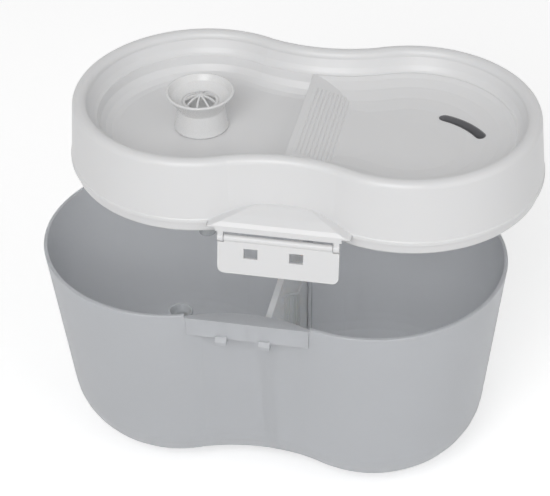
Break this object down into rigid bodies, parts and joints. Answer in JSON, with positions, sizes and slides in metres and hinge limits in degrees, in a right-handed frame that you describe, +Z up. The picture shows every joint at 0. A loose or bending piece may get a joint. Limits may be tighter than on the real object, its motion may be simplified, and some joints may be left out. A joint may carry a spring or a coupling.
{
  "type": "pet water fountain",
  "caption": "Two-lobed water fountain for pets with an open tank, a lift-off drinking tray with spout cup and dish, a latch flap, a divider and a pump.",
  "frame": {"origin": "middle of the tank's flat underside, on the plane it stands on", "axes": "+X along the tank towards the drinking dish, -Y towards the latch flap, +Z up"},
  "size_m": [0.2918, 0.1592, 0.2361],
  "materials": {
    "tank_frosted": "frosted, faintly see-through, cool grey",
    "tray_white": "semi-gloss moulded off-white",
    "cup_white": "gloss moulded off-white",
    "tube_clear": "milky clear tube",
    "soft_grey": "soft pale silicone",
    "divider_clear": "clear to milky sheet",
    "filter_foam": "dark carbon foam",
    "pump_shell": "satin moulded white",
    "impeller_blue": "semi-gloss blue",
    "magnet_dark": "dull sintered magnet",
    "shaft_ceramic": "polished ceramic",
    "dark_rubber": "matte black rubber",
    "core_steel": "laminated steel",
    "coil_copper": "enamelled copper winding",
    "potting_dark": "cast black resin"
  },
  "bodies": {
    "base": {"tank": "tank_frosted"},
    "tray_unit": {"tray": "tray_white", "stem_seal": "soft_grey"},
    "flap": {"latch_flap": "tray_white"},
    "cup": {"fountain_cup": "cup_white", "stem_tube": "tube_clear"},
    "grille": {"cup_grille": "cup_white"},
    "divider_unit": {"divider": "divider_clear"},
    "cartridge": {"filter_cover": "pump_shell", "filter_pad": "filter_foam"},
    "pump": {"pump_body": "pump_shell", "chamber_lid": "pump_shell", "rotor_shaft": "shaft_ceramic", "rear_bush": "dark_rubber", "front_bush": "dark_rubber", "outlet_nozzle": "pump_shell", "riser_tube": "soft_grey", "stator_core": "core_steel", "stator_coil": "coil_copper", "potting_plug": "potting_dark", "cable_gland": "dark_rubber", "foot_front_left": "soft_grey", "foot_front_right": "soft_grey", "foot_rear_left": "soft_grey", "foot_rear_right": "soft_grey"},
    "intake_cover": {"pump_cover": "pump_shell"},
    "dial": {"flow_dial": "impeller_blue"},
    "rotor": {"impeller": "impeller_blue", "rotor_magnet": "magnet_dark"}
  },
  "joints": [
    {"name": "tray_lift", "type": "slide", "parent": "base", "child": "tray_unit", "axis": [0.29, 0, 0.957], "range_m": [-0.06896, 0]},
    {"name": "latch_hinge", "type": "hinge", "parent": "tray_unit", "child": "flap", "pos_m": [0.02, -0.07649, 0.194], "axis": [-1, 0, 0], "range_deg": [-12, 78]},
    {"name": "cup_lift", "type": "slide", "parent": "tray_unit", "child": "cup", "axis": [0, 0, 1], "range_m": [0, 0.06]},
    {"name": "grille_lift", "type": "slide", "parent": "cup", "child": "grille", "axis": [0, 0, 1], "range_m": [0, 0.02]},
    {"name": "divider_lift", "type": "slide", "parent": "base", "child": "divider_unit", "axis": [0, 0, 1], "range_m": [0, 0.06]},
    {"name": "cartridge_pull", "type": "slide", "parent": "divider_unit", "child": "cartridge", "axis": [-1, 0, 0], "range_m": [0, 0.0095]},
    {"name": "pump_lift", "type": "slide", "parent": "base", "child": "pump", "axis": [0, 0, 1], "range_m": [0, 0.1]},
    {"name": "cover_pull", "type": "slide", "parent": "pump", "child": "intake_cover", "axis": [1, 0, 0], "range_m": [0, 0.014]},
    {"name": "dial_turn", "type": "hinge", "parent": "intake_cover", "child": "dial", "pos_m": [-0.0334, 0, 0.0224], "axis": [1, 0, 0], "range_deg": [0, 90]},
    {"name": "rotor_spin", "type": "hinge", "parent": "pump", "child": "rotor", "pos_m": [-0.06, 0, 0.0224], "axis": [1, 0, 0], "continuous": true}
  ]
}
